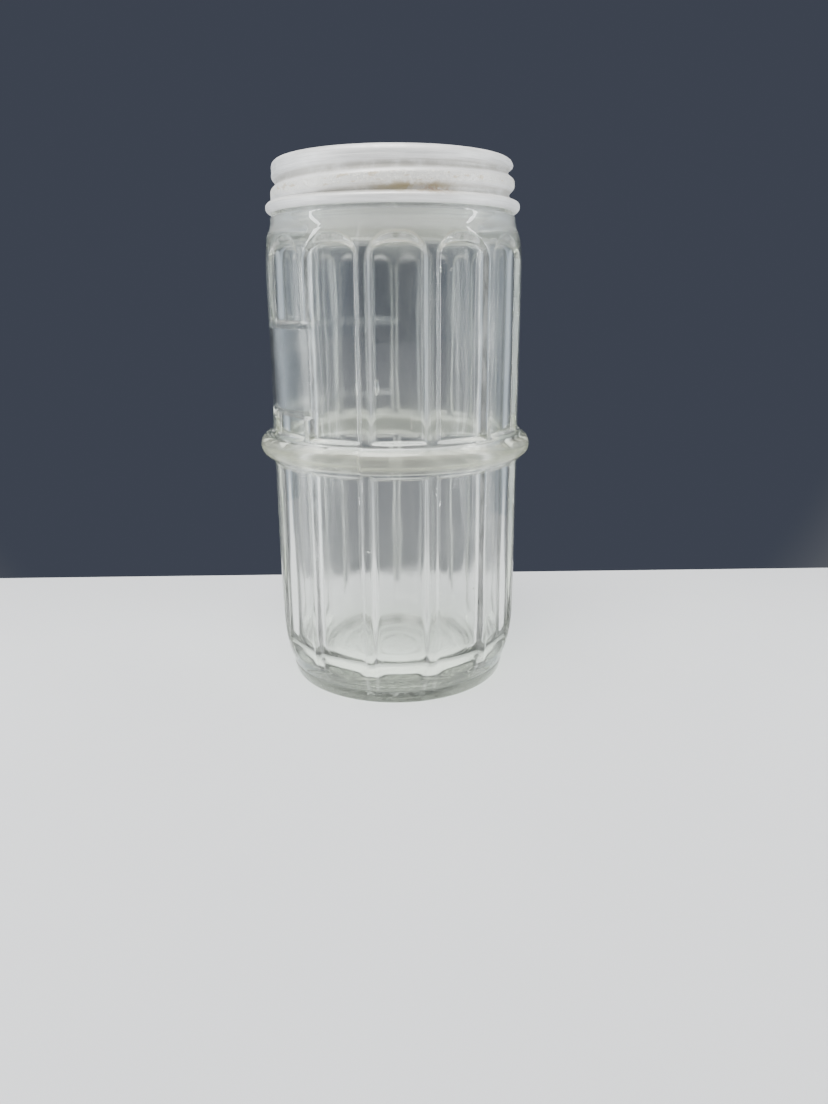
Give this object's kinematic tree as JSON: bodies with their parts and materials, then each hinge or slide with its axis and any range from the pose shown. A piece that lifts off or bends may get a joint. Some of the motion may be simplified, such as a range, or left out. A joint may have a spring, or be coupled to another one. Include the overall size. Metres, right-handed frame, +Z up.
{
  "type": "ribbed storage jar",
  "caption": "Clear pressed-glass jar with flat arched panels, a bead round its middle to hang it by, and a low aluminium screw cap.",
  "frame": {"origin": "middle of the foot, on the surface that the jar stands on", "axes": "+Z up along the jar's axis, -Y to the front, where the mould seam runs 12 degrees left of the middle"},
  "size_m": [0.06, 0.06, 0.111],
  "materials": {
    "clear_glass": "clear, fire-polished, with a faint green-grey tint",
    "matt_aluminium": "matt, rolled lines, worn crests and light tan stains",
    "pulpboard": "pressed pulpboard, matt",
    "waxed_paper": "waxed paper, soft sheen"
  },
  "bodies": {
    "jar": {"glass_jar": "clear_glass"},
    "liner": {"liner_board": "pulpboard", "liner_facing": "waxed_paper"},
    "cap": {"cap_shell": "matt_aluminium"}
  },
  "joints": [
    {"name": "cap_lift", "type": "slide", "parent": "jar", "child": "liner", "axis": [0, 0, 1], "range_m": [0, 0.0254]},
    {"name": "cap_turn", "type": "hinge", "parent": "liner", "child": "cap", "pos_m": [0, 0, 0.1055], "axis": [0, 0, 1], "range_deg": [0, 2160]}
  ],
  "couplings": [
    {"joint": "cap_lift", "follows": "cap_turn", "m_per_rad": 0.00067376}
  ]
}
